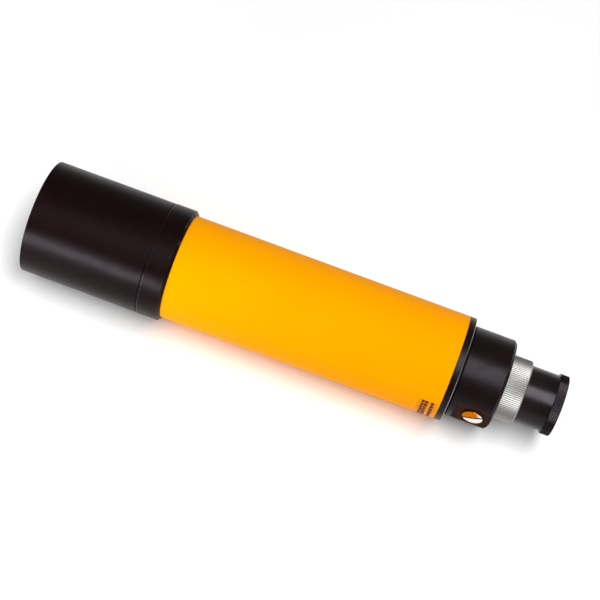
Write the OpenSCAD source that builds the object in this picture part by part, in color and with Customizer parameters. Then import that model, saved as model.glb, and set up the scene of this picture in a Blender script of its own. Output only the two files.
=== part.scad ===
// Straight-through finder telescope: 50 mm achromat, push-fit dew shield,
// helical focuser and built-in eyepiece.
// The optical axis runs along X, from the dew shield at -X to the eyepiece at +X.
// Stations along the axis are distances from the front rim of the dew shield.
// The origin is under the middle of the telescope, at the surface that it lies on.

/* [Dew shield] */
// Outer diameter of the dew shield
shield_d = 63.0; // [62.4:0.1:63.2]
// Wall thickness of the dew shield in front of its seat on the cell
shield_wall = 1.3; // [1.2:0.1:1.4]
// Wall thickness of the dew shield round the cell's spigot
shield_seat_wall = 0.7; // [0.6:0.1:0.8]
// Length of the dew shield
shield_len = 66.5; // [60:0.1:80]

/* [Objective] */
// Diameter of the lens elements
lens_d = 52.0; // [51:0.1:52.4]
// Clear aperture at the cell's rear lip
aperture_d = 50.0; // [46:0.5:50]
// Front radius of the crown element
crown_front_r = 98; // [90:1:120]
// Rear radius of the crown element
crown_rear_r = 95; // [90:1:110]
// Edge thickness of the crown element
crown_edge = 2.4; // [2:0.1:3]
// Centre thickness of the flint element
flint_centre = 3.5; // [3:0.1:4]
// Diameter of the cell's collar
collar_d = 63.3; // [63.3:0.1:64.5]
// Length of the cell's collar
collar_len = 13.5; // [11:0.1:16]
// Length of the spigot that carries the dew shield
shield_spigot_len = 16.0; // [15:0.5:20]

/* [Main tube] */
// Outer diameter of the main tube
tube_d = 58.5; // [58.3:0.1:59]
// Wall thickness of the main tube
tube_wall = 1.5; // [1.2:0.1:1.5]
// Length of the main tube
tube_len = 157.5; // [120:0.1:200]
// Length of the tube's rear flange
flange_len = 3.8; // [3:0.1:6]

/* [Rear housing] */
// Diameter of the rear housing
housing_d = 50.7; // [50.6:0.1:51.2]
// Length of the rear housing
housing_len = 23.5; // [23:0.1:28]
// Width of the groove between the flange and the housing
groove_w = 1.2; // [0.8:0.1:2]
// Distance from the optical axis to the flat pad
pad_h = 23.7; // [23.5:0.1:24.2]

/* [Focuser] */
// Outer diameter of the draw tube, the 1.25 inch standard
draw_d = 31.75; // [31.5:0.05:31.75]
// Wall thickness of the draw tube
draw_wall = 1.7; // [1.6:0.05:1.8]
// Length of the draw tube
draw_len = 63.0; // [60:0.5:66]
// Length of draw tube that shows between the focus ring and the eye ring
draw_exposed = 15.75; // [12:0.05:18]
// Outer diameter of the knurled focus ring
grip_d = 35.9; // [35.8:0.1:37]
// Length of the knurled focus ring
grip_len = 11.25; // [10:0.05:16]
// Number of teeth on the focus ring
grip_teeth = 100; // [60:1:120]

/* [Eye end] */
// Outer diameter of the knurled eye ring
eye_ring_d = 34.0; // [33:0.1:36]
// Thickness of the knurled eye ring
eye_ring_len = 5.0; // [3:0.1:6]
// Number of teeth on the eye ring
eye_ring_teeth = 94; // [60:1:120]
// Surface radius of the two eyepiece lenses
eyepiece_r = 32; // [30:1:60]

/* [Lock screw] */
// Diameter of the coin-slotted screw head
screw_head_d = 11.2; // [10:0.1:13]
// Height of the screw head's edge
screw_head_edge = 0.8; // [0.6:0.1:1.2]
// Angle of the coin slot from the optical axis
slot_angle = 27; // [0:1:90]

/* [Hidden] */
$fn = 96;

// Clearances
fit = 0.05;          // radial clearance of a screwed or pushed fit
run = 0.10;          // radial clearance of a turning fit
gap = 0.10;          // axial gap between stacked pieces
eps = 1;             // how far a cutter runs past the face it opens

// Radii
shield_r = shield_d / 2;
shield_bore_r = shield_r - shield_wall;
collar_r = collar_d / 2;
tube_r = tube_d / 2;
tube_bore_r = tube_r - tube_wall;
housing_r = housing_d / 2;
draw_r = draw_d / 2;
draw_bore_r = draw_r - draw_wall;
lens_r = lens_d / 2;
shield_seat_r = shield_r - shield_seat_wall;
spigot_r = shield_seat_r - fit;
tube_spigot_r = tube_bore_r - fit;
housing_spigot_r = housing_r - 1.35;
nut_pocket_r = housing_r - 4.35;
nut_neck_r = draw_r + fit + 0.9;
barrel_fit_r = draw_bore_r - fit;
screw_r = 3.5;
key_r = 2;

// Lengths inside the housing
nut_pocket_len = 5.4;
nut_flange_len = 2.3;
thrust_washer_t = 0.5;
grip_gap = 0.5;
screw_inset = 9.8;
pad_len = 20.6;
key_shoulder = 18.5;    // height above the axis at which the lock screw meets the guide key
washer_t = 0.3;
washer_margin = 0.7;    // how far the washer shows round the screw head

// Stations along the axis
collar_z = shield_len;
cell_front_z = collar_z - shield_spigot_len;
tube_z = collar_z + collar_len;
flange_z = tube_z + tube_len;
groove_z = flange_z + flange_len;
housing_z = groove_z + groove_w;
housing_end = housing_z + housing_len;
nut_pocket_z = housing_end - nut_pocket_len;
nut_flange_z = nut_pocket_z + thrust_washer_t + gap;
nut_flange_end = nut_flange_z + nut_flange_len;
screw_z = housing_end - screw_inset;
grip_z = housing_end + grip_gap;
grip_end = grip_z + grip_len;
eye_ring_z = grip_end + draw_exposed;
overall = eye_ring_z + eye_ring_len;
draw_z = eye_ring_z - draw_len;
axis_h = collar_r;

// Felt band in the cell's spigot
felt_z = cell_front_z + 5.6;
felt_w = 4.0;
felt_groove = 0.6;

// Lens stations, from the flint's flat rear face forward
seat_inset = 0.6;
flint_rear_z = collar_z + seat_inset;
flint_front_r = crown_rear_r - 1;
flint_front_z = flint_rear_z - flint_centre;
flint_edge_z = flint_front_z - sag(flint_front_r, lens_r);
spacer_t = 0.3;
crown_rear_edge_z = flint_edge_z - spacer_t;
crown_front_edge_z = crown_rear_edge_z - crown_edge;
retainer_bore_r = lens_r - 1.1;
retainer_rear_z = crown_front_edge_z - sag(crown_front_r, lens_r) + sag(crown_front_r, retainer_bore_r);
retainer_len = 2.8;

// Eyepiece stations, from the eye ring's spigot forward
eye_spigot_len = 2.8;
eyepiece_edge = 1.0;
eyepiece_sag = sag(eyepiece_r, barrel_fit_r);
eye_lens_rear_z = eye_ring_z - eye_spigot_len - gap;
eye_lens_edge_z = eye_lens_rear_z - eyepiece_edge;
eye_lens_front_z = eye_lens_edge_z - eyepiece_sag;
eyepiece_air = 0.3;
field_lens_rear_z = eye_lens_front_z - eyepiece_air;
field_lens_edge_z = field_lens_rear_z - eyepiece_sag;
field_lens_front_z = field_lens_edge_z - eyepiece_edge;
reticle_t = 1.2;
reticle_spacer_len = 3.0;
reticle_z = field_lens_front_z - reticle_spacer_len - reticle_t - 2 * gap;
field_stop_t = 1.2;

// Keyway of the draw tube
key_slot_floor = draw_r - 0.98;
key_slot_front = screw_z - 8.5;
key_slot_rear = screw_z + 10.5;

// Label
label_t = 0.12;
label_front = flange_z - 11.7;
label_len = 10.8;
label_from = -14;    // angle of its upper side, below the pad's direction
label_to = 50;       // angle of its lower side

// Depth of a spherical surface of radius r at distance h from its axis
function sag(r, h) = r - sqrt(r * r - h * h);

// Stations of the two facing surfaces of the objective at a distance from the axis
function crown_rear_z(r) = crown_rear_edge_z + sag(crown_rear_r, lens_r) - sag(crown_rear_r, r);
function flint_face_z(r) = flint_front_z - sag(flint_front_r, r);

// Points of a meridian arc of a spherical surface, from the axis out to radius h
function arc(r, h, z, dir, n = 24) =
    [for (i = [0 : n]) let (a = asin(h / r) * i / n) [r * sin(a), z + dir * r * (1 - cos(a))]];

// Points of a list in the opposite order
function reversed(list) = [for (i = [len(list) - 1 : -1 : 0]) list[i]];

// Outline of a straight-knurled bar
function knurl(r_crest, depth, teeth) =
    [for (i = [0 : 2 * teeth - 1])
        let (a = 180 * i / teeth, r = r_crest - (i % 2) * depth) [r * cos(a), r * sin(a)]];

// Puts the local Z axis on the optical axis, with z = 0 at the front rim
module on_axis() translate([-overall / 2, 0, axis_h]) rotate([0, 90, 0]) children();

// Puts local Z along the pad's normal, with z = 0 on the optical axis
module on_pad(z) translate([z - overall / 2, 0, axis_h]) rotate([90, 0, 0]) children();

// A turned piece from its half profile of [radius, station] points
module turned(profile) on_axis() rotate_extrude() polygon(profile);

// A plain ring between two stations
module ring(r_out, r_in, z_from, z_to)
    turned([[r_in, z_from], [r_out, z_from], [r_out, z_to], [r_in, z_to]]);

// A band of straight knurling round a core of the given radius
module knurled_band(r_crest, depth, teeth, r_core, z_from, z_to) on_axis() difference() {
    translate([0, 0, z_from]) linear_extrude(z_to - z_from) polygon(knurl(r_crest, depth, teeth));
    translate([0, 0, z_from - eps]) cylinder(r = r_core, h = z_to - z_from + 2 * eps);
}

// A lens from the half profiles of its two surfaces, the second one drawn back to the axis
module lens(front_pts, rear_pts) on_axis() rotate_extrude() polygon(concat(front_pts, rear_pts));

// Two opposed holes for a pin spanner, drilled to a depth from station z and open to the rear
module spanner_holes(r_place, z, depth, r = 0.7)
    on_axis() for (a = [0, 180])
        rotate([0, 0, a]) translate([r_place, 0, z]) cylinder(r = r, h = depth + eps);

module dew_shield() {
    edge = 0.25;
    color("#1b1517") turned([
        [shield_bore_r, edge], [shield_bore_r + edge, 0], [shield_r - edge, 0], [shield_r, edge],
        [shield_r, shield_len - edge], [shield_r - edge, shield_len],
        [shield_seat_r, shield_len], [shield_seat_r, cell_front_z - gap], [shield_bore_r, cell_front_z - gap]
    ]);
}

// Cell: spigot for the shield, collar, lens seat with a rear lip, and spigot for the tube
module objective_cell() {
    edge = 0.25;
    rear_edge = 1.4;
    lip_len = 2.0;
    lip_step = 0.6;
    tube_spigot_end = tube_z + 11;
    color("#1b1517") turned([
        [lens_r + run, cell_front_z], [spigot_r - edge, cell_front_z], [spigot_r, cell_front_z + edge],
        [spigot_r, felt_z], [spigot_r - felt_groove, felt_z],
        [spigot_r - felt_groove, felt_z + felt_w], [spigot_r, felt_z + felt_w],
        [spigot_r, collar_z], [collar_r - edge, collar_z], [collar_r, collar_z + edge],
        [collar_r, tube_z - rear_edge], [collar_r - rear_edge, tube_z],
        [tube_spigot_r, tube_z], [tube_spigot_r, tube_spigot_end],
        [aperture_d / 2 + lip_step, tube_spigot_end], [aperture_d / 2 + lip_step, flint_rear_z + lip_len],
        [aperture_d / 2, flint_rear_z + lip_len], [aperture_d / 2, flint_rear_z], [lens_r + run, flint_rear_z]
    ]);
}

// Felt band that grips the dew shield
module shield_felt()
    color("#26201f") ring(spigot_r, spigot_r - felt_groove + fit, felt_z + gap, felt_z + felt_w - gap);

// Screwed ring that holds the lenses, with two spanner slots
module lens_retainer() {
    z_from = retainer_rear_z - retainer_len;
    slot_w = 1.6;
    slot_depth = 1.0;
    color("#141214") difference() {
        ring(lens_r + fit, retainer_bore_r, z_from, retainer_rear_z);
        on_axis() translate([-lens_r - eps, -slot_w / 2, z_from - eps])
            cube([2 * (lens_r + eps), slot_w, slot_depth + eps]);
    }
}

module crown_lens() color("#b8d4e8", 0.5) lens(
    arc(crown_front_r, lens_r, crown_front_edge_z - sag(crown_front_r, lens_r), 1),
    reversed(arc(crown_rear_r, lens_r, crown_rear_edge_z + sag(crown_rear_r, lens_r), -1)));

// Thin ring between the rims of the two elements, which sets their air gap
module lens_spacer() {
    inner_r = lens_r - 1.2;
    slack = 0.02;
    color("#c8c8c8") turned([
        [inner_r, crown_rear_z(inner_r) + slack], [lens_r, crown_rear_z(lens_r) + slack],
        [lens_r, flint_face_z(lens_r) - slack], [inner_r, flint_face_z(inner_r) - slack]
    ]);
}

module flint_lens() color("#b8d4e8", 0.5) lens(
    arc(flint_front_r, lens_r, flint_front_z, -1),
    [[lens_r, flint_rear_z], [0, flint_rear_z]]);

// Tube with a shallow recess for the label
module main_tube() {
    edge = 0.2;
    color("#f7b500") difference() {
        turned([
            [tube_bore_r, tube_z], [tube_r - edge, tube_z], [tube_r, tube_z + edge],
            [tube_r, flange_z - edge], [tube_r - edge, flange_z], [tube_bore_r, flange_z]
        ]);
        label_patch(tube_r - label_t, tube_r + eps, 0);
    }
}

// Block of the label's outline, curved round the tube and drawn in by a margin
module label_patch(r_in, r_out, margin) {
    side = margin / tube_r * 180 / PI;
    on_axis() rotate([0, 0, 270 + label_from + side]) rotate_extrude(angle = label_to - label_from - 2 * side)
        polygon([
            [r_in, label_front + margin], [r_out, label_front + margin],
            [r_out, label_front + label_len - margin], [r_in, label_front + label_len - margin]
        ]);
}

// Stop disc with a central hole, pressed into the tube
module baffle(z, hole_r) {
    disc_t = 1.0;
    skirt_len = 5.0;
    skirt_t = 0.8;
    color("#0d0d0d") turned([
        [hole_r, z], [tube_spigot_r, z], [tube_spigot_r, z + skirt_len],
        [tube_spigot_r - skirt_t, z + skirt_len], [tube_spigot_r - skirt_t, z + disc_t], [hole_r, z + disc_t]
    ]);
}

// The holes narrow with the cone of light
module front_baffle() baffle(tube_z + 0.28 * tube_len, 21.5);
module rear_baffle() baffle(tube_z + 0.62 * tube_len, 16.0);

module spec_label() color("#d89a1c") label_patch(tube_r - label_t + 0.01, tube_r, 0.1);

// Flange that closes the tube, with a spigot inside it
module tube_end_ring() {
    edge = 0.5;
    spigot_z = flange_z - 10;
    color("#1b1517") turned([
        [housing_spigot_r + fit, spigot_z], [tube_spigot_r, spigot_z], [tube_spigot_r, flange_z],
        [tube_r, flange_z], [tube_r, groove_z - edge], [tube_r - edge, groove_z],
        [housing_spigot_r + fit, groove_z]
    ]);
}

// Rubber seal at the bottom of the groove
module groove_seal() {
    seal_depth = 0.9;
    color("#0c0b0c") ring(housing_r - seal_depth, housing_spigot_r + fit, groove_z + fit, housing_z - fit);
}

// Housing: front spigot, bore that guides the draw tube, pocket for the focus nut, milled pad
module rear_housing() {
    front_edge = 0.3;
    rear_edge = 1.5;
    spigot_len = 8.0;
    guide_z = housing_z - 1.2;
    stop_room_r = housing_spigot_r - 5;
    color("#1b1517") difference() {
        turned([
            [draw_r + run, guide_z], [stop_room_r, guide_z], [stop_room_r, housing_z - spigot_len],
            [housing_spigot_r, housing_z - spigot_len], [housing_spigot_r, housing_z],
            [housing_r - front_edge, housing_z], [housing_r, housing_z + front_edge],
            [housing_r, housing_end - rear_edge], [housing_r - rear_edge, housing_end],
            [nut_pocket_r, housing_end], [nut_pocket_r, nut_pocket_z], [draw_r + run, nut_pocket_z]
        ]);
        on_pad(housing_end - pad_len) translate([0, -housing_r, pad_h])
            cube([pad_len + eps, housing_d, housing_r]);
        on_pad(screw_z) translate([0, 0, key_shoulder]) cylinder(r = screw_r + fit, h = housing_r);
        on_pad(screw_z) cylinder(r = key_r + fit, h = housing_r);
    }
}

// Low-friction washer in front of the nut's flange
module thrust_washer()
    color("#e8e4da") ring(nut_pocket_r - 0.6, draw_r + 0.4, nut_pocket_z, nut_pocket_z + thrust_washer_t);

// Screwed ring that keeps the focus nut in its pocket
module nut_retainer() {
    face_z = housing_end - 0.3;
    hole_depth = 1.2;
    color("#1b1517") difference() {
        ring(nut_pocket_r - fit, nut_neck_r + run, nut_flange_end + gap, face_z);
        spanner_holes((nut_pocket_r + nut_neck_r) / 2, face_z - hole_depth, hole_depth);
    }
}

// Brass dog that runs in the draw tube's keyway
module guide_key() {
    tip = key_slot_floor + 0.15;
    color("#b08d3c") on_pad(screw_z) translate([0, 0, tip]) cylinder(r = key_r, h = key_shoulder - tip);
}

// Brass nut: flange in the pocket and a threaded neck that carries the grip
module focus_nut() {
    flange_r = nut_pocket_r - 1;
    neck_end = grip_end - 0.4;
    color("#b08d3c") turned([
        [draw_r + run, nut_flange_z], [flange_r, nut_flange_z], [flange_r, nut_flange_end],
        [nut_neck_r, nut_flange_end], [nut_neck_r, neck_end], [draw_r + run, neck_end]
    ]);
}

// Knurled sleeve on the nut's neck, with a turned chamfer at each end of the teeth
module focus_grip() {
    grip_r = grip_d / 2;
    knurl_depth = 0.35;
    core_r = grip_r - knurl_depth - 0.1;
    front_edge = 0.5;
    rear_edge = 0.9;
    rear_drop = 0.6;
    lip_r = draw_r + 0.3;
    lip_z = grip_end - 0.35;
    color("#cfcdca") {
        turned([
            [nut_neck_r + fit, grip_z], [core_r - front_edge, grip_z], [core_r, grip_z + front_edge],
            [core_r, grip_end - rear_edge], [core_r - rear_drop, grip_end], [lip_r, grip_end],
            [lip_r, lip_z], [nut_neck_r + fit, lip_z]
        ]);
        knurled_band(grip_r, knurl_depth, grip_teeth, core_r - 0.2,
            grip_z + front_edge, grip_end - rear_edge);
    }
}

// Barrel with a milled keyway for the guide key
module draw_tube() {
    slot_r = key_r + fit;
    color("#1b1517") difference() {
        ring(draw_r, draw_bore_r, draw_z, eye_ring_z);
        on_pad(key_slot_front + slot_r) translate([0, 0, key_slot_floor]) cylinder(r = slot_r, h = draw_r);
        on_pad(key_slot_rear - slot_r) translate([0, 0, key_slot_floor]) cylinder(r = slot_r, h = draw_r);
        on_pad(key_slot_front + slot_r) translate([0, -slot_r, key_slot_floor])
            cube([key_slot_rear - key_slot_front - 2 * slot_r, 2 * slot_r, draw_r]);
    }
}

// Brass ring that stops the draw tube from leaving the housing
module draw_stop() {
    width = 2.05;
    stop_z = draw_z + 2;
    stop_t = 1.7;
    color("#b08d3c") ring(draw_r + fit + width, draw_r + fit, stop_z, stop_z + stop_t);
}

// Disc whose hole bounds the view
module field_stop() {
    hole_r = 8.5;
    color("#0d0d0d") ring(barrel_fit_r, hole_r, reticle_z - gap - field_stop_t, reticle_z - gap);
}

// Flat glass disc that carries the crosshair
module reticle()
    color("#c8dce8", 0.5) on_axis() translate([0, 0, reticle_z]) cylinder(r = barrel_fit_r, h = reticle_t);

module reticle_spacer() {
    bore_r = 12.8;
    color("#0d0d0d") ring(barrel_fit_r, bore_r, reticle_z + reticle_t + gap, field_lens_front_z - gap);
}

module field_lens() color("#c8dce8", 0.5) lens(
    [[0, field_lens_front_z], [barrel_fit_r, field_lens_front_z]],
    reversed(arc(eyepiece_r, barrel_fit_r, field_lens_rear_z, -1)));

// Ring whose inner corners bear on the curved faces of the two eyepiece lenses
module eyepiece_spacer() {
    bore_r = 13.4;
    bite = eyepiece_sag - sag(eyepiece_r, bore_r) + gap;
    color("#0d0d0d") ring(barrel_fit_r, bore_r, field_lens_edge_z + bite, eye_lens_edge_z - bite);
}

module eye_lens() color("#c8dce8", 0.5) lens(
    arc(eyepiece_r, barrel_fit_r, eye_lens_front_z, 1),
    [[barrel_fit_r, eye_lens_rear_z], [0, eye_lens_rear_z]]);

// Knurled ring that screws into the barrel and ends in a cone for the eye
module eye_ring() {
    ring_r = eye_ring_d / 2;
    knurl_depth = 0.3;
    core_r = ring_r - knurl_depth - 0.1;
    edge = 0.35;
    bore_r = 10;
    mouth_r = 14;
    cone_z = eye_ring_z + 0.5;
    color("#1b1517") {
        turned([
            [bore_r, eye_ring_z - eye_spigot_len], [barrel_fit_r, eye_ring_z - eye_spigot_len],
            [barrel_fit_r, eye_ring_z], [core_r, eye_ring_z], [core_r, overall - edge],
            [core_r - edge, overall], [mouth_r, overall], [bore_r, cone_z]
        ]);
        knurled_band(ring_r, knurl_depth, eye_ring_teeth, core_r - 0.2, eye_ring_z, overall - edge);
    }
}

// Dark fibre washer under the screw's head
module lock_washer() color("#15100f") on_pad(screw_z) difference() {
    translate([0, 0, pad_h]) cylinder(r = screw_head_d / 2 + washer_margin, h = washer_t);
    translate([0, 0, pad_h - eps]) cylinder(r = screw_r + run, h = washer_t + 2 * eps);
}

// Polished screw with a low domed head and a coin slot
module lock_screw() {
    head_r = screw_head_d / 2;
    head_z = pad_h + washer_t;
    dome_h = 0.35;
    dome_r = (head_r * head_r + dome_h * dome_h) / (2 * dome_h);
    slot_w = 1.2;
    slot_depth = 0.8;
    crown_z = head_z + screw_head_edge + dome_h;
    color("#e4e4e4") on_pad(screw_z) difference() {
        rotate_extrude() polygon(concat(
            [[0, key_shoulder + 0.1], [screw_r, key_shoulder + 0.1], [screw_r, head_z], [head_r, head_z]],
            reversed(arc(dome_r, head_r, crown_z, -1))));
        rotate([0, 0, slot_angle]) translate([-head_r - eps, -slot_w / 2, crown_z - slot_depth])
            cube([2 * (head_r + eps), slot_w, slot_depth + eps]);
    }
}

dew_shield();
objective_cell();
shield_felt();
lens_retainer();
crown_lens();
lens_spacer();
flint_lens();
main_tube();
front_baffle();
rear_baffle();
spec_label();
tube_end_ring();
groove_seal();
rear_housing();
thrust_washer();
nut_retainer();
guide_key();
focus_nut();
focus_grip();
draw_tube();
draw_stop();
field_stop();
reticle();
reticle_spacer();
field_lens();
eyepiece_spacer();
eye_lens();
eye_ring();
lock_washer();
lock_screw();
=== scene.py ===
"""The looks of a small straight-through finder telescope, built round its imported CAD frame.

Turned pieces are lathed from half profiles of (station along their axis, radius), both in metres. Their
ends and outer radii come from the CAD nodes that they stand for. Walls, chamfers and grooves are given
here. The telescope lies on the floor with its optical axis along X.
"""

import math
import random

import bmesh
import bpy
from mathutils import Matrix, Vector


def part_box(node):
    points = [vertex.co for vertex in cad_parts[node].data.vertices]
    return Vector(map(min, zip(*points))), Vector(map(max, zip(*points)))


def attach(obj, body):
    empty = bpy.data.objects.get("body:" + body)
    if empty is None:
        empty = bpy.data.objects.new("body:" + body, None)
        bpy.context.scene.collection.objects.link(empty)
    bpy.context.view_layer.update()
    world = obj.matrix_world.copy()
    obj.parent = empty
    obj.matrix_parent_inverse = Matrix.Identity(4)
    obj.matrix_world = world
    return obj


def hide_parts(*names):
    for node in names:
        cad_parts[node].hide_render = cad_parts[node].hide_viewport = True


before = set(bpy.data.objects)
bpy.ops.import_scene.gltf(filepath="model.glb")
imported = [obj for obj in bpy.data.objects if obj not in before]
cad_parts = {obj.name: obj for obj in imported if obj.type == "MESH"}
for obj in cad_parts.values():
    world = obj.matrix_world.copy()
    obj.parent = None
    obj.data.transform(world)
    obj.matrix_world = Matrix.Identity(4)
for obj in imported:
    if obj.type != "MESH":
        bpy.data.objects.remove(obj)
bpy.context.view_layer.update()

MM = 0.001
TAU = 2 * math.pi
SMOOTH_ANGLE = math.radians(35)
ROUND = 224  # segments round a large turned piece
SLOT_ANGLE = math.radians(27)  # of the screw's coin slot, up from the optical axis
SHANK_R = 3.5 * MM  # of the lock screw


# ---------------------------------------------------------------- places from the frame

def span(node):
    """First station, last station and outer radius of a CAD node turned about the optical axis."""
    low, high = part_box(node)
    return low.x, high.x, (high.z - low.z) / 2


collar_low, collar_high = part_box("objective_cell")
AXIS = Vector((0, 0, (collar_low.z + collar_high.z) / 2))
shield_x0, shield_x1, shield_r = span("dew_shield")
cell_x0, cell_x1, collar_r = span("objective_cell")
tube_x0, tube_x1, tube_r = span("main_tube")
flange_x1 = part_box("tube_end_ring")[1].x
seal_x0, seal_x1, seal_r = span("groove_seal")
housing_spigot_x0, housing_x1, housing_r = span("rear_housing")
grip_x0, grip_x1, grip_r = span("focus_grip")
draw_x0, draw_x1, draw_r = span("draw_tube")
eye_x0, eye_x1, eye_r = span("eye_ring")
screw_low, screw_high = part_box("lock_screw")
washer_low, washer_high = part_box("lock_washer")
screw_x = (screw_low.x + screw_high.x) / 2


# ---------------------------------------------------------------- meshes

def rounded(points, steps=4):
    """Profile points of (x, r) or (x, r, corner radius), with each rounded corner as an arc."""
    out = []
    count = len(points)
    for i, point in enumerate(points):
        here = Vector(point[:2])
        size = point[2] if len(point) > 2 else 0
        if size == 0:
            out.append(here)
            continue
        before = Vector(points[i - 1][:2]) - here
        after = Vector(points[(i + 1) % count][:2]) - here
        half = before.angle(after) / 2
        reach = min(size / math.tan(half), before.length * 0.48, after.length * 0.48)
        start = here + before.normalized() * reach
        end = here + after.normalized() * reach
        for k in range(steps + 1):
            t = k / steps
            out.append((1 - t) ** 2 * start + 2 * t * (1 - t) * here + t ** 2 * end)
    return [(p[0], p[1]) for p in out]


def new_object(name, bm):
    """Object from a bmesh, smooth-shaded except at its sharp edges."""
    bmesh.ops.remove_doubles(bm, verts=bm.verts, dist=1e-7)
    bmesh.ops.recalc_face_normals(bm, faces=bm.faces)
    mesh = bpy.data.meshes.new(name)
    bm.to_mesh(mesh)
    bm.free()
    mesh.shade_smooth()
    mesh.set_sharp_from_angle(angle=SMOOTH_ANGLE)
    obj = bpy.data.objects.new(name, mesh)
    bpy.context.scene.collection.objects.link(obj)
    return obj


def on_axis(x, r, angle):
    """Point at a station on the optical axis and a radius and angle about it."""
    return x, r * math.cos(angle), AXIS.z + r * math.sin(angle)


def on_screw(height, r, angle):
    """Point at a height above the optical axis, towards -Y, and a radius and angle about the screw."""
    return screw_x + r * math.cos(angle), -height, AXIS.z + r * math.sin(angle)


def lathe(name, profile, segments=ROUND, shape=None, place=on_axis):
    """Turns a profile about an axis.

    The profile closes on itself, or on the axis if it starts and ends there. shape(r, angle) may change
    the radius of a point.
    """
    bm = bmesh.new()
    rows = []
    for along, r in profile:
        row = []
        for k in range(segments):
            angle = TAU * k / segments
            radius = shape(r, angle) if shape else r
            row.append(bm.verts.new(place(along, radius, angle)))
        rows.append(row)
    if min(r for along, r in profile) == 0:
        rows.append([])
    for row, after in zip(rows, rows[1:] + rows[:1]):
        if not row or not after:
            continue
        for k in range(segments):
            corners = (row[k], row[(k + 1) % segments], after[(k + 1) % segments], after[k])
            bm.faces.new(corners)
    return new_object(name, bm)


def cut(name, obj, cutter, outside, inside, width):
    """Object less a cutter, with a material from each and rounded edges. Both inputs are used up."""
    obj.data.materials.append(outside)
    cutter.data.materials.append(inside)
    modifier = obj.modifiers.new("cut", "BOOLEAN")
    modifier.object = cutter
    modifier.solver = "EXACT"
    modifier.material_mode = "TRANSFER"
    soften = obj.modifiers.new("soften", "BEVEL")
    soften.limit_method = "ANGLE"
    soften.angle_limit = math.radians(24)
    soften.width = width
    soften.segments = 2
    graph = bpy.context.evaluated_depsgraph_get()
    mesh = bpy.data.meshes.new_from_object(obj.evaluated_get(graph))
    bpy.data.objects.remove(obj)
    bpy.data.objects.remove(cutter)
    mesh.shade_smooth()
    mesh.set_sharp_from_angle(angle=SMOOTH_ANGLE)
    result = bpy.data.objects.new(name, mesh)
    bpy.context.scene.collection.objects.link(result)
    return result


def block(name, low, high):
    """Box-shaped cutter between two corners."""
    bm = bmesh.new()
    bmesh.ops.create_cube(bm, size=1)
    size = Vector(high) - Vector(low)
    centre = (Vector(high) + Vector(low)) / 2
    matrix = Matrix.Translation(centre) @ Matrix.Diagonal((*size, 1))
    bmesh.ops.transform(bm, matrix=matrix, verts=bm.verts)
    return new_object(name, bm)


def dress(obj, body, slot, material, *nodes):
    """Evens out a piece's shading, gives it a material and a body, and hides the nodes it replaces;
    slot is unused.
    """
    if not obj.data.materials:
        obj.data.materials.append(material)
    flats = obj.modifiers.new("even_normals", "WEIGHTED_NORMAL")
    flats.keep_sharp = True
    if nodes:
        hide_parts(*nodes)
    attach(obj, body)


def finish_edge(obj, material, x0, x1, r0):
    """Gives the faces between two stations and outside a radius a further material."""
    obj.data.materials.append(material)
    for face in obj.data.polygons:
        height = face.center - AXIS
        if x0 < face.center.x < x1 and math.hypot(height.y, height.z) > r0:
            face.material_index = len(obj.data.materials) - 1


def repaint(node, material):
    """Gives a CAD node that stays a better material."""
    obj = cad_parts[node]
    obj.data.materials.clear()
    obj.data.materials.append(material)
    for face in obj.data.polygons:
        face.material_index = 0


# ---------------------------------------------------------------- materials

def principled(name, **sockets):
    """Principled material with the given socket values, its tree, shader and object coordinates."""
    mat = bpy.data.materials.new(name)
    mat.use_nodes = True
    tree = mat.node_tree
    shader = tree.nodes["Principled BSDF"]
    for socket, value in sockets.items():
        shader.inputs[socket.replace("_", " ")].default_value = value
    place = tree.nodes.new("ShaderNodeTexCoord").outputs["Object"]
    return mat, tree, shader, place


def noise(tree, vector, scale, detail, stretch=(1, 1, 1)):
    """Noise with its own scale and detail, and a stretch along each axis."""
    mapping = tree.nodes.new("ShaderNodeMapping")
    mapping.inputs["Scale"].default_value = stretch
    tree.links.new(vector, mapping.inputs["Vector"])
    tex = tree.nodes.new("ShaderNodeTexNoise")
    tex.inputs["Scale"].default_value = scale
    tex.inputs["Detail"].default_value = detail
    tree.links.new(mapping.outputs["Vector"], tex.inputs["Vector"])
    return tex.outputs["Fac"]


def ramp(tree, fac, stops):
    """Colour ramp from (position, grey or colour) stops."""
    node = tree.nodes.new("ShaderNodeValToRGB")
    elements = node.color_ramp.elements
    while len(elements) < len(stops):
        elements.new(0.5)
    for element, (position, value) in zip(elements, stops):
        element.position = position
        element.color = (*([value] * 3 if isinstance(value, float) else value), 1)
    tree.links.new(fac, node.inputs["Fac"])
    return node.outputs["Color"]


def vary(tree, shader, socket, fac, low, high, start=0.3, end=0.7):
    """Drives a shader socket with a ramp between two greys or colours."""
    tree.links.new(ramp(tree, fac, [(start, low), (end, high)]), shader.inputs[socket])


def bump(tree, shader, *layers):
    """Stacks bump layers of (height, strength, distance) on the shader's normal."""
    normal = None
    for height, strength, distance in layers:
        node = tree.nodes.new("ShaderNodeBump")
        node.inputs["Strength"].default_value = strength
        node.inputs["Distance"].default_value = distance
        tree.links.new(height, node.inputs["Height"])
        if normal:
            tree.links.new(normal, node.inputs["Normal"])
        normal = node.outputs["Normal"]
    tree.links.new(normal, shader.inputs["Normal"])


def edge_wear(tree):
    """White where the surface is sharply convex, black elsewhere."""
    geometry = tree.nodes.new("ShaderNodeNewGeometry")
    return ramp(tree, geometry.outputs["Pointiness"], [(0.53, 0.0), (0.62, 1.0)])


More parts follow.
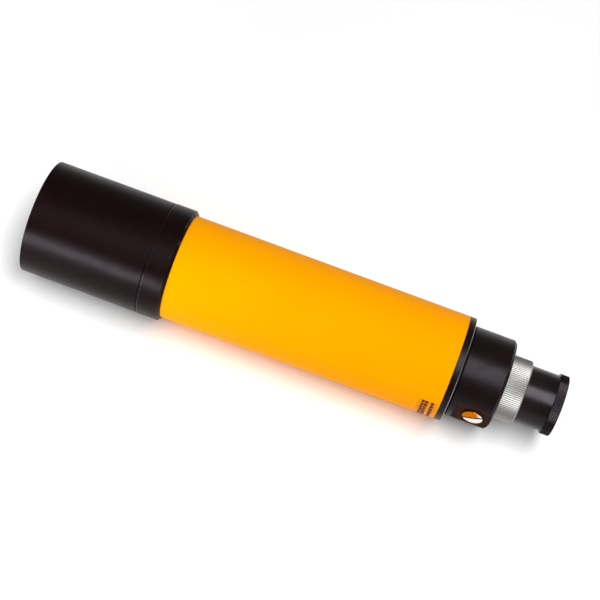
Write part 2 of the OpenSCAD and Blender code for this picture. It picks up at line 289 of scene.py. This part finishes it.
def mixed(tree, fac, a, b):
    """Mix of two colours, each a socket or a tuple."""
    node = tree.nodes.new("ShaderNodeMix")
    node.data_type = "RGBA"
    tree.links.new(fac, node.inputs["Factor"])
    for socket, value in (("A", a), ("B", b)):
        target = [s for s in node.inputs if s.name == socket and s.type == "RGBA"][0]
        if isinstance(value, tuple):
            target.default_value = (*value, 1)
        else:
            tree.links.new(value, target)
    return [s for s in node.outputs if s.type == "RGBA"][0]


def anodised(name, base, worn, gloss, roughness, turning=1.0):
    """Satin black anodised aluminium with a fine tooth and faintly worn edges.

    It has fine turning lines, and turning scales their strength.
    """
    mat, tree, shader, place = principled(
        name, Specular_IOR_Level=gloss, IOR=1.5, Specular_Tint=(0.95, 0.87, 1.0, 1.0)
    )
    dark = tuple(0.82 * c for c in base)
    light = tuple(1.18 * c for c in base)
    tint = ramp(tree, noise(tree, place, 45, 4), [(0.3, dark), (0.7, light)])
    tree.links.new(mixed(tree, edge_wear(tree), tint, worn), shader.inputs["Base Color"])
    vary(tree, shader, "Roughness", noise(tree, place, 160, 3), roughness - 0.03, roughness + 0.04)
    lines = noise(tree, place, 1, 3, (7000, 12, 12))
    tooth = noise(tree, place, 5200, 2)
    bump(tree, shader, (lines, 0.10 * turning, 0.02 * MM), (tooth, 0.12, 0.012 * MM))
    return mat


def enamel(name):
    """Warm yellow powder coat with a faint orange peel."""
    mat, tree, shader, place = principled(
        name, Specular_IOR_Level=0.02, IOR=1.5, Specular_Tint=(1.0, 0.6, 0.02, 1.0)
    )
    coats = [(0.25, (0.96, 0.346, 0.0)), (0.75, (0.99, 0.366, 0.0))]
    worn = (1.0, 0.42, 0.01)
    coat = ramp(tree, noise(tree, place, 24, 4), coats)
    tree.links.new(mixed(tree, edge_wear(tree), coat, worn), shader.inputs["Base Color"])
    vary(tree, shader, "Roughness", noise(tree, place, 300, 3), 0.44, 0.52)
    peel = noise(tree, place, 1400, 2)
    fine = noise(tree, place, 5000, 2)
    bump(tree, shader, (peel, 0.10, 0.03 * MM), (fine, 0.06, 0.01 * MM))
    return mat


def bare_metal(name, colour, roughness):
    """Turned bare metal with fine lines and slightly uneven gloss."""
    mat, tree, shader, place = principled(name, Metallic=1.0)
    dull = tuple(0.94 * c for c in colour)
    vary(tree, shader, "Base Color", noise(tree, place, 1800, 3), dull, colour)
    vary(tree, shader, "Roughness", noise(tree, place, 1500, 3), roughness - 0.03, roughness + 0.03)
    lines = noise(tree, place, 1, 3, (6000, 20, 20))
    bump(tree, shader, (lines, 0.12, 0.015 * MM))
    return mat


def fade(tree, vector, towards, start, end):
    """Value that rises from 0 to 1 between two distances along a direction."""
    distance = tree.nodes.new("ShaderNodeVectorMath")
    distance.operation = "DOT_PRODUCT"
    distance.inputs[1].default_value = towards
    tree.links.new(vector, distance.inputs[0])
    rise = tree.nodes.new("ShaderNodeMapRange")
    rise.inputs["From Min"].default_value = start
    rise.inputs["From Max"].default_value = end
    tree.links.new(distance.outputs["Value"], rise.inputs["Value"])
    return rise.outputs["Result"]


def plating_with_painted_reflection(name):
    """Polished silver plating with a painted reflection: gold on the head above its slot, silver below
    it and to the rear.
    """
    mat, tree, shader, place = principled(name, Metallic=1.0, Specular_Tint=(1.0, 0.80, 0.50, 1.0))
    # Masks for the painted reflection: the part of the head above the slot, short of its rear end.
    shift = tree.nodes.new("ShaderNodeVectorMath")
    shift.operation = "SUBTRACT"
    shift.inputs[1].default_value = (screw_x, 0, AXIS.z)
    tree.links.new(place, shift.inputs[0])
    centred = shift.outputs["Vector"]
    slot_x, slot_z = math.cos(SLOT_ANGLE), math.sin(SLOT_ANGLE)
    above = fade(tree, centred, (-slot_z, 0, slot_x), -0.6 * MM, 0.9 * MM)
    forward = fade(tree, centred, (-slot_x, 0, -slot_z), -4.9 * MM, -2.9 * MM)
    both = tree.nodes.new("ShaderNodeMath")
    both.operation = "MULTIPLY"
    tree.links.new(above, both.inputs[0])
    tree.links.new(forward, both.inputs[1])
    # The gold is a painted reflection of warm surroundings, mixed over the plating's own silver.
    painted_reflection_golds = [(0.3, (0.50, 0.125, 0.001)), (0.7, (0.58, 0.155, 0.002))]
    silvers = [(0.3, (0.84, 0.83, 0.82)), (0.7, (0.92, 0.91, 0.90))]
    gold = ramp(tree, noise(tree, place, 500, 3), painted_reflection_golds)
    silver = ramp(tree, noise(tree, place, 900, 3), silvers)
    tree.links.new(mixed(tree, both.outputs["Value"], silver, gold), shader.inputs["Base Color"])
    vary(tree, shader, "Roughness", noise(tree, place, 1500, 3), 0.12, 0.18)
    bump(tree, shader, (noise(tree, place, 2500, 2), 0.04, 0.01 * MM))
    return mat


def plain_finish(name, low, high, roughness, grain, strength, **sockets):
    """Rough or moulded finish: two tones, a grain with its bump strength and an uneven gloss."""
    mat, tree, shader, place = principled(name, **sockets)
    vary(tree, shader, "Base Color", noise(tree, place, grain / 8, 3), low, high)
    patches = noise(tree, place, grain / 3, 3)
    vary(tree, shader, "Roughness", patches, roughness - 0.05, roughness + 0.05)
    bump(tree, shader, (noise(tree, place, grain, 3), strength, 0.04 * MM))
    return mat


def coated_glass(name, film_nm):
    """Optical glass with an anti-reflection film of a thickness in nanometres, for a coloured sheen."""
    mat, tree, shader, place = principled(
        name, Transmission_Weight=1.0, IOR=1.52, Thin_Film_Thickness=film_nm, Thin_Film_IOR=1.38
    )
    vary(tree, shader, "Roughness", noise(tree, place, 900, 4), 0.0, 0.03, 0.45, 0.8)
    vary(tree, shader, "Base Color", noise(tree, place, 60, 2), (0.93, 0.97, 0.96), (0.96, 0.98, 0.98))
    return mat


BLACK = (0.0056, 0.0015, 0.0012)
WORN = (0.026, 0.020, 0.020)
EYE_BLACK = (0.0040, 0.0012, 0.0010)
# Brown of the milled faces: a painted reflection of warm surroundings, lighter where edges are worn.
MILLED_REFLECTION_BROWN = (0.032, 0.0125, 0.0072)
MILLED_REFLECTION_BROWN_WORN = (0.040, 0.018, 0.011)
black_anodised = anodised("black_anodised", BLACK, WORN, gloss=0.08, roughness=0.33)
black_housing = anodised("black_housing", BLACK, WORN, gloss=0.155, roughness=0.36)
black_barrel = anodised("black_barrel", BLACK, WORN, gloss=0.20, roughness=0.27)
black_eye = anodised("black_eye", EYE_BLACK, WORN, gloss=0.155, roughness=0.15, turning=0.3)
black_gloss = anodised("black_gloss", BLACK, BLACK, gloss=0.6, roughness=0.15, turning=0.2)
black_milled_painted_reflection = anodised("black_milled_painted_reflection", MILLED_REFLECTION_BROWN, MILLED_REFLECTION_BROWN_WORN, gloss=0.02, roughness=0.5, turning=0.3)
bare_edge = bare_metal("bare_edge", (0.30, 0.285, 0.275), roughness=0.30)
bare_aluminium = bare_metal("bare_aluminium", (0.338, 0.330, 0.320), roughness=0.42)
brass = bare_metal("brass", (0.72, 0.52, 0.22), roughness=0.30)
yellow_enamel = enamel("yellow_enamel")
# The screw head's gold is a painted reflection.
plate_with_painted_reflection = plating_with_painted_reflection("polished_chrome")
lens_glass = coated_glass("lens_glass", film_nm=380)
eye_glass = coated_glass("eye_glass", film_nm=340)
matte_black = plain_finish(
    "matte_black", (0.004, 0.004, 0.004), (0.008, 0.008, 0.008),
    roughness=0.85, grain=3000, strength=0.3
)
# Dark brown faces inside the screw's slot: painted shade.
slot_painted_shade = plain_finish(
    "slot_painted_shade", (0.030, 0.012, 0.006), (0.045, 0.020, 0.010),
    roughness=0.6, grain=3000, strength=0.2
)
felt = plain_finish(
    "felt", (0.012, 0.011, 0.011), (0.03, 0.028, 0.028),
    roughness=0.95, grain=2200, strength=0.8, Sheen_Weight=0.3
)
seal_rubber = plain_finish(
    "seal_rubber", (0.004, 0.003, 0.003), (0.007, 0.006, 0.006),
    roughness=0.7, grain=2500, strength=0.2, Specular_IOR_Level=0.1
)
nylon = plain_finish(
    "nylon", (0.75, 0.72, 0.65), (0.82, 0.79, 0.72),
    roughness=0.5, grain=1500, strength=0.15
)
fibre = plain_finish(
    "fibre", (0.004, 0.002, 0.0015), (0.009, 0.005, 0.004),
    roughness=0.75, grain=3500, strength=0.4, Specular_IOR_Level=0.1
)
label_film = plain_finish(
    "label_film", (0.82, 0.26, 0.0), (0.88, 0.285, 0.0),
    roughness=0.22, grain=900, strength=0.04, Specular_IOR_Level=0.05
)
label_ink = plain_finish(
    "label_ink", (0.045, 0.006, 0.0), (0.075, 0.010, 0.0),
    roughness=0.5, grain=2000, strength=0.1, Specular_IOR_Level=0.08
)


# ---------------------------------------------------------------- dew shield and cell

def build_dew_shield():
    """Plain black cylinder, ribbed inside against stray light."""
    edge = 0.25 * MM
    bore_r = shield_r - 1.3 * MM
    seat_r = shield_r - 0.7 * MM
    seat_x = cell_x0 - 0.1 * MM
    rib_depth = 0.25 * MM
    ribs = 44
    margin = 1.0 * MM
    pitch = (seat_x - shield_x0 - 2 * margin) / ribs
    profile = [
        (shield_x0, bore_r, edge), (shield_x0, shield_r, edge),
        (shield_x1, shield_r, edge), (shield_x1, seat_r), (seat_x, seat_r), (seat_x, bore_r),
    ]
    for i in range(ribs):
        x = seat_x - margin - i * pitch
        profile += [(x, bore_r), (x - pitch / 2, bore_r + rib_depth)]
    shield = lathe("dew_shield", rounded(profile))
    dress(shield, "shield", "black_anodised", black_anodised, "dew_shield")


def build_objective_cell():
    """Collar behind the shield, with the spigot that carries the shield and the seat of the lenses."""
    edge = 0.25 * MM
    front_edge = 0.3 * MM
    chamfer = 1.4 * MM
    spigot_r = shield_r - 0.75 * MM
    tube_spigot_r = tube_r - 1.6 * MM
    seat_r = 26.1 * MM
    lip_x0 = shield_x1 + 0.6 * MM
    lip_x1 = lip_x0 + 2 * MM
    lip_r = 25.0 * MM
    relief_r = lip_r + 0.6 * MM
    groove_x0 = cell_x0 + 5.6 * MM
    groove_x1 = groove_x0 + 4 * MM
    groove_r = spigot_r - 0.6 * MM
    face_x = shield_x1 + 0.7 * MM
    profile = [
        (cell_x0, seat_r, edge), (cell_x0, spigot_r, edge),
        (groove_x0, spigot_r), (groove_x0, groove_r), (groove_x1, groove_r), (groove_x1, spigot_r),
        (face_x, spigot_r), (face_x, collar_r, front_edge),
        (tube_x0 - chamfer, collar_r, edge), (tube_x0, collar_r - chamfer, edge / 2),
        (tube_x0, tube_spigot_r), (cell_x1, tube_spigot_r), (cell_x1, relief_r),
        (lip_x1, relief_r), (lip_x1, lip_r), (lip_x0, lip_r), (lip_x0, seat_r),
    ]
    cell = lathe("objective_cell", rounded(profile))
    cell.data.materials.append(black_anodised)
    finish_edge(cell, black_gloss, face_x, face_x + front_edge, collar_r - front_edge)
    dress(cell, "telescope_body", "black_anodised", black_anodised, "objective_cell")


# ---------------------------------------------------------------- tube, label and flange

def build_main_tube():
    """Yellow tube with softly rounded ends."""
    edge = 0.2 * MM
    bore_r = tube_r - 1.5 * MM
    profile = [(tube_x0, bore_r), (tube_x0, tube_r, edge), (tube_x1, tube_r, edge), (tube_x1, bore_r)]
    tube = lathe("main_tube", rounded(profile))
    dress(tube, "telescope_body", "yellow_enamel", yellow_enamel, "main_tube")


def build_flange():
    """Thin flange with a bright-turned rear edge and a spigot inside the tube."""
    x0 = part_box("tube_end_ring")[0].x
    bore_r = housing_r - 1.3 * MM
    spigot_r = tube_r - 1.55 * MM
    edge = 0.15 * MM
    chamfer = 0.35 * MM
    chamfer_x = flange_x1 - chamfer
    profile = [
        (x0, bore_r), (x0, spigot_r), (tube_x1, spigot_r), (tube_x1, tube_r, edge),
        (chamfer_x - 0.1 * MM, tube_r), (chamfer_x, tube_r), (flange_x1, tube_r - chamfer),
        (flange_x1, bore_r),
    ]
    flange = lathe("tube_end_ring", rounded(profile, steps=6))
    flange.data.materials.append(black_housing)
    finish_edge(flange, bare_edge, chamfer_x, flange_x1, tube_r - chamfer)
    dress(flange, "telescope_body", "black_anodised", black_housing, "tube_end_ring")


def build_groove_seal():
    """Rubber seal at the bottom of the groove behind the flange."""
    edge = 0.15 * MM
    bore_r = seal_r - 0.4 * MM
    profile = [(seal_x0, bore_r), (seal_x0, seal_r, edge), (seal_x1, seal_r, edge), (seal_x1, bore_r)]
    seal = lathe("groove_seal", rounded(profile))
    dress(seal, "telescope_body", "seal_rubber", seal_rubber, "groove_seal")


# ---------------------------------------------------------------- rear housing

def build_rear_housing():
    """Black housing with a wide rear chamfer and the flat pad milled on its -Y side."""
    front = seal_x1
    web_x = front - 1.2 * MM
    chamfer = 1.5 * MM
    pocket_r = housing_r - 4.35 * MM
    pocket_x = housing_x1 - 5.4 * MM
    guide_r = draw_r + 0.1 * MM
    spigot_r = housing_r - 1.35 * MM
    recess_r = spigot_r - 5 * MM
    profile = [
        (web_x, guide_r), (web_x, recess_r), (housing_spigot_x0, recess_r),
        (housing_spigot_x0, spigot_r), (front, spigot_r), (front, housing_r, 0.3 * MM),
        (housing_x1 - chamfer, housing_r, 0.2 * MM), (housing_x1, housing_r - chamfer, 0.15 * MM),
        (housing_x1, pocket_r, 0.1 * MM), (pocket_x, pocket_r), (pocket_x, guide_r),
    ]
    blank = lathe("housing_blank", rounded(profile))
    reach = 2 * housing_r
    low = (housing_x1 - 20.6 * MM, -reach, 0)
    high = (housing_x1 + reach, washer_high.y, 2 * AXIS.z)
    cutter = block("pad_cutter", low, high)
    # The milled pad takes the brown painted reflection.
    housing = cut("rear_housing", blank, cutter, black_housing, black_milled_painted_reflection, 0.1 * MM)
    dress(housing, "telescope_body", "black_anodised", black_housing, "rear_housing")


# ---------------------------------------------------------------- knurled rings

def knurl_shape(crest_r, depth, teeth):
    """Radius of a straight-knurled surface: rounded teeth, cut back where the profile is lower."""
    def shape(r, angle):
        if r < crest_r - 3 * depth:
            return r
        wave = 0.5 - 0.5 * math.cos(teeth * angle)
        return min(r, crest_r - depth * wave ** 0.8)
    return shape


def build_knurled(name, x0, x1, crest_r, depth, teeth, front, rear, inner):
    """Knurled ring: teeth between a front and a rear chamfer, closed by an inner profile."""
    outer = []
    steps = 5
    segments = teeth * 8
    for k in range(steps + 1):
        t = k / steps
        outer.append((x0 + front * t, crest_r - front * (1 - t)))
    for k in range(steps + 1):
        t = k / steps
        outer.append((x1 - rear * (1 - t), crest_r - rear * t))
    return lathe(name, outer + inner, segments, knurl_shape(crest_r, depth, teeth))


def build_focus_grip():
    """Bright knurled ring with a wide smooth chamfer and a thin lip at the rear."""
    teeth = 100
    depth = 0.29 * MM
    front, rear = 0.4 * MM, 0.75 * MM
    neck_r = 16.875 * MM
    lip_r = draw_r + 0.3 * MM
    lip_x = grip_x1 - 0.35 * MM
    inner = [(grip_x1, lip_r), (lip_x, lip_r), (lip_x, neck_r), (grip_x0, neck_r)]
    ring = build_knurled("focus_grip", grip_x0, grip_x1, grip_r, depth, teeth, front, rear, inner)
    dress(ring, "focus_ring", "bare_aluminium", bare_aluminium, "focus_grip")


def build_eye_ring():
    """Black knurled ring with a shallow cone for the eye."""
    teeth = 94
    depth = 0.28 * MM
    front, rear = 0.12 * MM, 0.25 * MM
    bore_r = 10 * MM
    mouth_r = 14 * MM
    mouth_edge_r = mouth_r + 0.3 * MM
    mouth_x = eye_x1 - 0.25 * MM
    spigot_r = draw_r - 1.75 * MM
    cone_x = draw_x1 + 0.5 * MM
    inner = [
        (eye_x1, mouth_edge_r), (mouth_x, mouth_r), (cone_x, bore_r),
        (eye_x0, bore_r), (eye_x0, spigot_r), (draw_x1, spigot_r),
    ]
    ring = build_knurled("eye_ring", draw_x1, eye_x1, eye_r, depth, teeth, front, rear, inner)
    dress(ring, "eyepiece_tube", "black_anodised", black_eye, "eye_ring")


def build_draw_tube():
    """Black barrel with its keyway on the -Y side."""
    bore_r = draw_r - 1.7 * MM
    profile = [(draw_x0, bore_r), (draw_x0, draw_r, 0.2 * MM), (draw_x1, draw_r), (draw_x1, bore_r)]
    blank = lathe("draw_blank", rounded(profile))
    half_width = 2.05 * MM
    floor_y = -14.9 * MM
    key_x0 = screw_x - 8.5 * MM
    key_x1 = screw_x + 10.5 * MM
    low = (key_x0, -2 * draw_r, AXIS.z - half_width)
    high = (key_x1, floor_y, AXIS.z + half_width)
    cutter = block("key_cutter", low, high)
    # The keyway's faces take the brown painted reflection too.
    tube = cut("draw_tube", blank, cutter, black_barrel, black_milled_painted_reflection, 0.1 * MM)
    dress(tube, "eyepiece_tube", "black_anodised", black_barrel, "draw_tube")


# ---------------------------------------------------------------- lock screw, label and crosshair

def build_lock_screw():
    """Domed screw head with a dark coin slot."""
    head_r = (screw_high.x - screw_low.x) / 2
    foot, seat, crown = -screw_high.y, -washer_low.y, -screw_low.y
    dome_height = 0.35 * MM
    rim = crown - dome_height
    dome = []
    steps = 12
    for k in range(1, steps + 1):
        t = 1 - k / steps
        dome.append((crown - (crown - rim) * t ** 2, head_r * t))
    lip = rounded([(seat, SHANK_R), (seat, head_r, 0.1 * MM), (rim, head_r, 0.2 * MM), dome[0]])
    profile = [(foot, 0), (foot, SHANK_R)] + lip + dome[1:]
    blank = lathe("screw_blank", profile, segments=128, place=on_screw)
    slot_half = 0.6 * MM
    slot_depth = 0.8 * MM
    low = (-2 * head_r, -crown - MM, -slot_half)
    high = (2 * head_r, -crown + slot_depth, slot_half)
    cutter = block("slot_cutter", low, high)
    turn = Matrix.Translation((screw_x, 0, AXIS.z)) @ Matrix.Rotation(-SLOT_ANGLE, 4, "Y")
    cutter.data.transform(turn)
    # The head carries the painted reflection and its slot the painted shade.
    screw = cut("lock_screw", blank, cutter, plate_with_painted_reflection, slot_painted_shade, 0.06 * MM)
    dress(screw, "screw", "polished_chrome", plate_with_painted_reflection, "lock_screw")


def build_lock_washer():
    """Dark washer that shows round the screw head."""
    washer_r = (washer_high.x - washer_low.x) / 2
    hole_r = SHANK_R + 0.1 * MM
    pad, seat = -washer_high.y, -washer_low.y
    profile = [(pad, hole_r), (pad, washer_r, 0.08 * MM), (seat, washer_r, 0.1 * MM), (seat, hole_r)]
    washer = lathe("lock_washer", rounded(profile), segments=96, place=on_screw)
    dress(washer, "screw_washer", "fibre", fibre, "lock_washer")


def patch(bm, x0, x1, angle0, angle1, r0, r1, steps):
    """Adds a block between two stations, two angles about the optical axis and two radii."""
    rings = []
    for k in range(steps + 1):
        angle = angle0 + (angle1 - angle0) * k / steps
        corners = ((x0, r0), (x1, r0), (x1, r1), (x0, r1))
        rings.append([bm.verts.new(on_axis(x, r, angle)) for x, r in corners])
    for one, two in zip(rings, rings[1:]):
        for i in range(4):
            j = (i + 1) % 4
            bm.faces.new((one[i], one[j], two[j], two[i]))
    bm.faces.new(rings[0])
    bm.faces.new(rings[-1])


def build_label():
    """Film label near the rear of the tube, with columns of short bars in place of print."""
    low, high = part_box("spec_label")
    top = math.pi + math.radians(-14)
    bottom = math.pi + math.radians(50)
    base_r = tube_r - 0.1 * MM
    film_r = tube_r + 0.05 * MM
    bm = bmesh.new()
    patch(bm, low.x, high.x, top, bottom, base_r, film_r, steps=40)
    dress(new_object("spec_label", bm), "telescope_body", "label_film", label_film, "spec_label")

    # Rows run round the tube, so their pitch and height are angles. A column is its first station, its
    # width and its number of marks in a row.
    marks = random.Random(4)
    pitch = 2.6 * MM / tube_r
    height = 2.25 * MM / tube_r
    bar = 0.40 * height
    rows = int((bottom - top) / pitch) - 1
    first_row = 0.15
    depths = (film_r - 0.02 * MM, film_r + 0.01 * MM)
    columns = ((high.x - 8.7 * MM, 3.8 * MM, 2), (high.x - 3.6 * MM, 2.1 * MM, 1))
    bm = bmesh.new()
    for row in range(rows):
        start = top + pitch * (row + first_row)
        for x, width, count in columns:
            step = width / count
            stem = 0.38 * step
            for i in range(count):
                x0 = x + i * step
                x1 = x0 + step * marks.uniform(0.78, 0.98)
                middle = start + height * marks.uniform(0.4, 0.6)
                patch(bm, x0, x1, start, start + bar, *depths, steps=1)
                patch(bm, x0, x0 + stem, start, start + height, *depths, steps=2)
                patch(bm, x0, x1, middle, middle + bar, *depths, steps=1)
    dress(new_object("label_marks", bm), "telescope_body", "label_film", label_ink)


def build_crosshair():
    """Two fine lines across the front of the reticle."""
    low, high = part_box("reticle")
    reach = 0.92 * (high.z - low.z) / 2
    half = 0.035 * MM
    centre = Matrix.Translation((low.x, 0, AXIS.z))
    bm = bmesh.new()
    for y, z in ((reach, half), (half, reach)):
        bmesh.ops.create_cube(bm, size=1, matrix=centre @ Matrix.Diagonal((half, 2 * y, 2 * z, 1)))
    dress(new_object("reticle_lines", bm), "eyepiece_tube", "matte_black", matte_black)


build_dew_shield()
build_objective_cell()
build_main_tube()
build_flange()
build_groove_seal()
build_rear_housing()
build_focus_grip()
build_eye_ring()
build_draw_tube()
build_lock_screw()
build_lock_washer()
build_label()
build_crosshair()

REPAINTED = (
    (matte_black, ("lens_retainer", "front_baffle", "rear_baffle")),
    (matte_black, ("field_stop", "reticle_spacer", "eyepiece_spacer")),
    (lens_glass, ("crown_lens", "flint_lens")),
    (eye_glass, ("reticle", "field_lens", "eye_lens")),
    (brass, ("focus_nut", "draw_stop", "guide_key")),
    (bare_aluminium, ("lens_spacer",)),
    (felt, ("shield_felt",)),
    (nylon, ("thrust_washer",)),
    (black_anodised, ("nut_retainer",)),
)
for finish, nodes in REPAINTED:
    for node in nodes:
        repaint(node, finish)


# ---------------------------------------------------------------- floor, lights and camera

def build_floor():
    """Plain pale floor that the telescope lies on."""
    bm = bmesh.new()
    bmesh.ops.create_circle(bm, cap_ends=True, segments=96, radius=4)
    floor = new_object("floor", bm)
    mat, tree, shader, place = principled("floor_paper", Roughness=0.9, Specular_IOR_Level=0.1)
    vary(tree, shader, "Base Color", noise(tree, place, 6, 2), 0.965, 0.975)
    floor.data.materials.append(mat)


def direction(azimuth, elevation):
    """Unit vector towards a viewer at an azimuth and elevation in degrees."""
    a, e = math.radians(azimuth), math.radians(elevation)
    return Vector((math.sin(a) * math.cos(e), -math.cos(a) * math.cos(e), math.sin(e)))


def softbox(name, position, target, width, height, power, spread=180):
    """Rectangular soft light with its width along X, aimed at a point, with its spread in degrees."""
    data = bpy.data.lights.new(name, "AREA")
    data.shape = "RECTANGLE"
    data.size, data.size_y = width, height
    data.energy = power
    data.spread = math.radians(spread)
    light = bpy.data.objects.new(name, data)
    back = (Vector(position) - Vector(target)).normalized()
    right = (Vector((1, 0, 0)) - back * back.x).normalized()
    up = back.cross(right)
    turn = Matrix((right, up, back)).transposed().to_4x4()
    light.matrix_world = Matrix.Translation(position) @ turn
    bpy.context.scene.collection.objects.link(light)


def build_lights():
    """Soft key and a weak broad fill high on the -Y side, a gridded low strip, and a pale surround."""
    softbox("key", (0.38, -0.39, 1.67), (0.08, 0, 0.03), width=0.60, height=1.20, power=26)
    softbox("fill", (-0.55, -0.75, 1.65), (-0.12, 0, 0.03), width=0.90, height=1.20, power=3.6)
    softbox(
        "low_strip", (-0.31, -0.85, 0.16), (-0.31, 0, 0.03),
        width=0.30, height=0.26, power=0.67, spread=42
    )
    world = bpy.data.worlds.new("studio")
    world.use_nodes = True
    background = world.node_tree.nodes["Background"]
    background.inputs["Color"].default_value = (1, 1, 1, 1)
    background.inputs["Strength"].default_value = 0.30
    bpy.context.scene.world = world


def build_camera():
    """Camera above the pad's side, rolled so that the axis slopes down to the eyepiece."""
    azimuth, elevation, roll = 5.35, 59.5, 15.65
    distance = 0.841
    aim = Vector((-0.8 * MM, 0, 42.7 * MM))
    back = direction(azimuth, elevation)
    level = direction(azimuth + 90, 0)
    turn = math.radians(roll)
    up = back.cross(level)
    right = level * math.cos(turn) + up * math.sin(turn)
    data = bpy.data.cameras.new("camera")
    data.sensor_width = 36
    data.lens = 94
    camera = bpy.data.objects.new("camera", data)
    basis = Matrix((right, back.cross(right), back)).transposed().to_4x4()
    camera.matrix_world = Matrix.Translation(aim + back * distance) @ basis
    bpy.context.scene.collection.objects.link(camera)
    bpy.context.scene.camera = camera


build_floor()
build_lights()
build_camera()
bpy.context.scene.view_settings.view_transform = "Standard"
